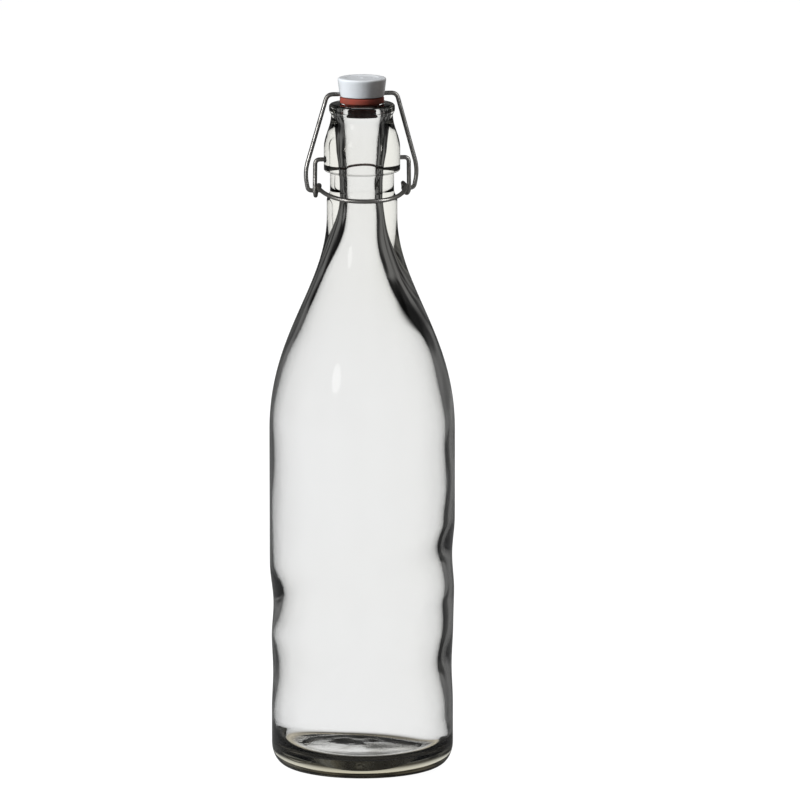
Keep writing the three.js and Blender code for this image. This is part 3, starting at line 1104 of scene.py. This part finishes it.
@dataclass
class Lamp:
    """An oval softbox, which may light only some pieces."""

    name: str
    azimuth: float
    elevation: float
    distance: float
    width: float
    height: float
    power: float
    colour: Colour = (1, 1, 1)
    mirrored: bool = True
    lit: tuple[bpy.types.Object, ...] = ()

    def hang(self, aim: Vector) -> None:
        """Hangs the lamp, turned to what it lights."""
        data = bpy.data.lights.new(self.name, "AREA")
        data.shape = "ELLIPSE"
        data.size = self.width
        data.size_y = self.height
        data.energy = self.power
        data.color = self.colour
        lamp = bpy.data.objects.new(self.name, data)
        bpy.context.scene.collection.objects.link(lamp)
        back = direction(self.azimuth, self.elevation)
        lamp.location = aim + back * self.distance
        lamp.rotation_euler = (-back).to_track_quat("-Z", "Y").to_euler()
        lamp.visible_camera = False
        lamp.visible_transmission = False
        lamp.visible_glossy = self.mirrored
        if self.lit:
            pieces = bpy.data.collections.new(self.name + " pieces")
            for piece in self.lit:
                pieces.objects.link(piece)
            lamp.light_linking.receiver_collection = pieces


def direction(azimuth: float, elevation: float) -> Vector:
    """Returns the direction from the bottle to a place, from angles in degrees.

    Args:
        azimuth: 0 is in front, towards -Y, and 90 is towards +X.
        elevation: The angle above the horizon.
    """
    a, e = math.radians(azimuth), math.radians(elevation)
    return Vector((math.sin(a) * math.cos(e), -math.cos(a) * math.cos(e), math.sin(e)))


@dataclass
class Studio:
    """A pale floor and room, bright behind the glass and dim in its reflections."""

    camera_azimuth: float = -10.0
    camera_distance: float = 4.072
    camera_height: float = 0.911
    camera_lens: float = 407.0
    aim_z: float = 0.1694
    aim_right: float = 0.0173
    white: float = 1.03
    floor_glow: float = 0.955
    floor_grey: float = 0.12
    mirrored_share: float = 0.058
    lit_share: float = 0.035
    floor_half: float = 40.0
    ceiling: Span = (0.12, 0.34)
    ceiling_share: float = 0.10
    pit: Span = (-0.48, -0.8)
    pit_share: float = 0.22
    mottle: Span = (0.3, 2.4)

    def place_camera(self) -> None:
        """Sets a long lens at the object's front, a little above it."""
        data = bpy.data.cameras.new("camera")
        data.lens = self.camera_lens
        data.clip_end = 200
        camera = bpy.data.objects.new("camera", data)
        bpy.context.scene.collection.objects.link(camera)
        flat = direction(self.camera_azimuth, 0)
        camera.location = flat * self.camera_distance + Vector((0, 0, self.camera_height))
        right = Vector((-flat.y, flat.x, 0))
        aim = right * self.aim_right + Vector((0, 0, self.aim_z))
        camera.rotation_euler = (aim - camera.location).to_track_quat("-Z", "Y").to_euler()
        bpy.context.scene.camera = camera

    def brightness(
        self, nodes: Nodes, uneven: bpy.types.NodeSocket | float = 1.0
    ) -> bpy.types.NodeSocket:
        """Returns the room's brightness: full when seen, dim when mirrored or scattered.

        Args:
            nodes: The tree that asks.
            uneven: What the mirrored brightness is multiplied by.
        """
        path = nodes.add("LightPath").outputs
        mirrored = nodes.math("GREATER_THAN", path["Glossy Depth"], 0.5)
        scattered = nodes.math("GREATER_THAN", path["Diffuse Depth"], 0.5)
        share = nodes.math("MULTIPLY", uneven, self.mirrored_share)
        dim = nodes.math("MULTIPLY_ADD", mirrored, nodes.math("SUBTRACT", share, 1), 1)
        dimmer = nodes.math("MULTIPLY_ADD", scattered, self.lit_share - 1, 1)
        return nodes.math("MULTIPLY", nodes.math("MINIMUM", dim, dimmer), self.white)

    def lay_floor(self) -> None:
        """Lays a wide pale floor that glows evenly and takes a faint shadow."""
        deselect_all()
        bpy.ops.mesh.primitive_plane_add(size=2 * self.floor_half)
        floor = bpy.context.object
        floor.name = "studio_floor"
        floor.visible_transmission = False
        material = bpy.data.materials.new("pale floor")
        material.use_nodes = True
        material.cycles.emission_sampling = "NONE"
        nodes = Nodes(material.node_tree)
        shader = material.node_tree.nodes["Principled BSDF"]
        shader.inputs["Base Color"].default_value = (*[self.floor_grey] * 3, 1)
        shader.inputs["Roughness"].default_value = 1.0
        shader.inputs["Specular IOR Level"].default_value = 0.0
        shader.inputs["Emission Color"].default_value = (1, 1, 1, 1)
        glow = nodes.math("MULTIPLY", self.brightness(nodes), self.floor_glow)
        nodes.join(glow, shader.inputs["Emission Strength"])
        floor.data.materials.append(material)

    def paint_room(self) -> None:
        """Gives the room the floor's brightness, but dim overhead and underneath through glass."""
        world = bpy.data.worlds.new("pale room")
        bpy.context.scene.world = world
        world.use_nodes = True
        nodes = Nodes(world.node_tree)
        back = world.node_tree.nodes["Background"]
        back.inputs["Color"].default_value = (1, 1, 1, 1)
        axes = nodes.add("SeparateXYZ")
        nodes.join(nodes.add("TexCoord").outputs["Generated"], axes.inputs[0])
        rise = axes.outputs["Z"]
        above = nodes.remap(rise, *self.ceiling, 1, self.ceiling_share)
        pit_top, pit_floor = self.pit
        below = nodes.remap(rise, pit_floor, pit_top, self.pit_share, 1)
        bent = nodes.math("GREATER_THAN", nodes.add("LightPath").outputs["Transmission Depth"], 0.5)
        window = nodes.math("MULTIPLY", above, below)
        share = nodes.math("MULTIPLY_ADD", bent, nodes.math("SUBTRACT", window, 1), 1)
        patches = nodes.add("TexNoise", Scale=2.6, Detail=1.0)
        nodes.join(nodes.add("TexCoord").outputs["Generated"], patches.inputs["Vector"])
        uneven = nodes.remap(patches.outputs["Fac"], 0.4, 0.6, *self.mottle)
        strength = nodes.math("MULTIPLY", self.brightness(nodes, uneven), share)
        nodes.join(strength, back.inputs["Strength"])

    def hang_lamps(self, metalwork: tuple[bpy.types.Object, ...]) -> None:
        """Hangs the key on the left, a top light, fills, a small window and the metal's strips.

        Args:
            metalwork: The pieces that the strips light.
        """
        aim = Vector((0, 0, 0.22))
        Lamp("key", -76, 24, 1.7, 0.5, 0.8, 32, (0.95, 0.98, 1.0), mirrored=False).hang(aim)
        Lamp("top", -60, 80, 1.5, 1.0, 1.0, 9, mirrored=False).hang(aim)
        Lamp("warm bounce", 80, 2, 1.6, 0.7, 0.5, 0.9, (1.0, 0.66, 0.42), mirrored=False).hang(aim)
        Lamp("back fill", 140, 20, 1.6, 0.6, 0.8, 15, mirrored=False).hang(aim)
        Lamp("window", -46, 18, 1.6, 0.34, 0.36, 0.55).hang(aim)
        Lamp("left strip", -50, 12, 1.4, 0.5, 1.4, 9, lit=metalwork).hang(aim)
        Lamp("right strip", 55, 25, 1.4, 0.4, 1.4, 5, lit=metalwork).hang(aim)

    def build(self) -> None:
        """Builds the room, with whites kept white."""
        self.place_camera()
        self.lay_floor()
        self.paint_room()
        bpy.context.scene.view_settings.view_transform = "Standard"


def main() -> None:
    """Builds the studio and the growler."""
    logging.basicConfig(level=logging.INFO, format="%(name)s: %(message)s")
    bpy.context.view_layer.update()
    studio = Studio()
    studio.build()
    Bottle("glass_bottle", "bottle", Body.BOTTLE, Slot.GLASS).build(GlassFinish())
    lever = LeverWire("closure_lever", "lever_wire", Body.LEVER, Slot.WIRE).build(WireFinish())
    bail = BailWire("closure_bail", "bail_wire", Body.BAIL, Slot.WIRE).build(WireFinish())
    StopperHead("stopper_cap", "stopper_head", Body.STOPPER, Slot.PLASTIC).build(PlasticFinish())
    Gasket("rubber_gasket", "gasket", Body.STOPPER, Slot.RUBBER).build(RubberFinish())
    studio.hang_lamps((lever, bail))


if __name__ == "__main__":
    main()
